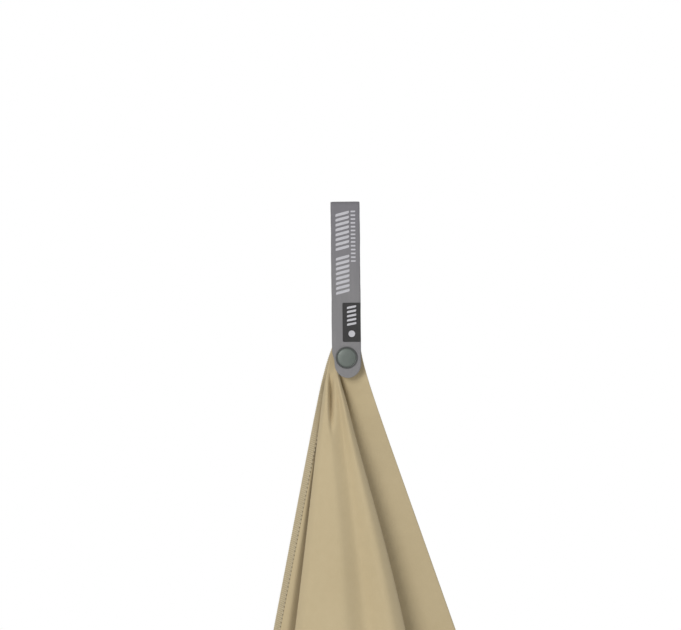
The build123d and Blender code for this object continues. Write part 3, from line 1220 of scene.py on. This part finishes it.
# the straight row of stitches along the hem's inner side
def needleRun(start, end, face):
    turns = ((0.0, -0.2), (0.1, 0.5), (0.4, 0.66), (0.7, 0.5), (0.8, -0.2))
    return repeated(start, end, [(share, hem["width"] + 0.35, height * face) for share, height in turns])


def threadPath(edge, run):
    along, inward, height = run
    inside = np.maximum(inward, 0.0)
    outside = np.minimum(inward, 0.0)
    place, normal = onCloth(*edgeFrame(edge, along, inside))
    further, _ = onCloth(*edgeFrame(edge, along, inside + 1.0))
    outward = unit(place - further)
    return place + normal * (height * mm)[:, None] - outward * (outside * mm)[:, None], normal


# first and last count stitches from the edge's own corner
def makeHem(name, node, edge, first, last, crossesStrap):
    start, end = first * hem["pitch"], last * hem["pitch"]
    runs = [
        lacedRun(start, end),
        lacedRun(start + hem["pitch"] / 2, end - hem["pitch"] / 2),
        ladderRun(start, end - hem["pitch"]),
        needleRun(start, end, 1),
        needleRun(start, end, -1),
    ]
    paths = [threadPath(edge, run) for run in runs]
    piece = joinTubes(name, paths, hem["threadRadius"] * mm, 5, "hem_thread", squash=0.75)
    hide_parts(node)
    if crossesStrap:
        blendAtStrap(piece)
    else:
        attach(piece, "towel")
    return piece


first = hem["firstStitch"]
longEnd, shortEnd = (int(towel[size] / mm / hem["pitch"]) for size in ("length", "width"))
hems = [
    makeHem("leftHemStitches", "left_hem_thread", "left", first, longEnd, True),
    makeHem("rightHemStitches", "right_hem_thread", "right", first, shortEnd, True),
    makeHem("lowerShortHemStitches", "lower_short_hem_thread", "lowerShort", 1, shortEnd, False),
    makeHem("lowerLongHemStitches", "lower_long_hem_thread", "lowerLong", 1, longEnd, False),
]
print("hems stitched")


# the blank tag in the hidden side hem

# sizes in mm
tag = {
    "distance": 300.0,
    "width": 14.0,
    "length": 24.0,
    "layerGap": 0.45,
    "thickness": 0.18,
    "curl": 2.0,
    "bulge": 8.0,  # the layers part over this length
    "sewnIn": 2.0,
}


# a folded ribbon: out from the hem, round and back, with a slight curl
def makeTag():
    across = np.linspace(0, tag["width"], 15)
    out = np.linspace(0, tag["length"], 25)
    bend = np.linspace(0, math.pi, 9)[1:-1]
    gap = tag["layerGap"] / 2
    layer = [(t, gap * math.sin(math.pi * min(1, t / tag["bulge"])) + gap * 0.4) for t in out]
    turned = [(tag["length"] + math.sin(b) * gap * 1.4, math.cos(b) * gap * 1.4) for b in bend]
    line = layer + turned + [(reach, -lift) for reach, lift in layer[::-1]]
    run = lengthAlong(np.array(line))
    edge, normal = onCloth(np.full(len(across), 0.2), tag["distance"] + across)
    inner, _ = onCloth(np.full(len(across), 6.0), tag["distance"] + across)
    outward = unit(edge - inner)
    points, uvs = [], []
    for number, (reach, lift) in enumerate(line):
        lift += tag["curl"] * (reach / tag["length"]) ** 2
        points.append(edge + outward * (reach - tag["sewnIn"]) * mm + normal * lift * mm)
        uvs.append(np.stack([across, np.full(len(across), run[number])], axis=1) * mm)
    faces = gridFaces(len(line), len(across))
    piece = newPiece("blankTag", np.concatenate(points), faces, "tag_ribbon", np.concatenate(uvs))
    thicken(piece, tag["thickness"] * mm)
    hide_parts("care_tag")
    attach(piece, "towel")
    return piece


tagPiece = makeTag()


# the seam that holds the corner to the webbing

# sizes in mm
seam = {"rows": (-91.0, -95.0), "stitches": 5, "pitch": 3.0, "length": 2.0, "radius": 0.24, "dip": 0.3}


def makeSeam():
    runs = []
    low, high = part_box("corner_stitching")
    faces = ((low[1] + 0.12 * mm, -1), (high[1] - 0.12 * mm, 1))
    share = np.linspace(-1, 1, 9)
    for row in seam["rows"]:
        for number in range(seam["stitches"]):
            middle = (number - (seam["stitches"] - 1) / 2) * seam["pitch"]
            x = (middle + share * seam["length"] / 2) * mm
            for depth, side in faces:
                y = depth - side * share**4 * seam["dip"] * mm
                runs.append((np.stack([x, y, np.full(9, row * mm)], axis=1), None))
    piece = joinTubes("cornerSeam", runs, seam["radius"] * mm, 8, "seam_thread")
    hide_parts("corner_stitching")
    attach(piece, "strap_back")
    return piece


cornerSeam = makeSeam()
print("tag and seam made")

print("cad box", [round(v, 4) for c in cadBox for v in c])
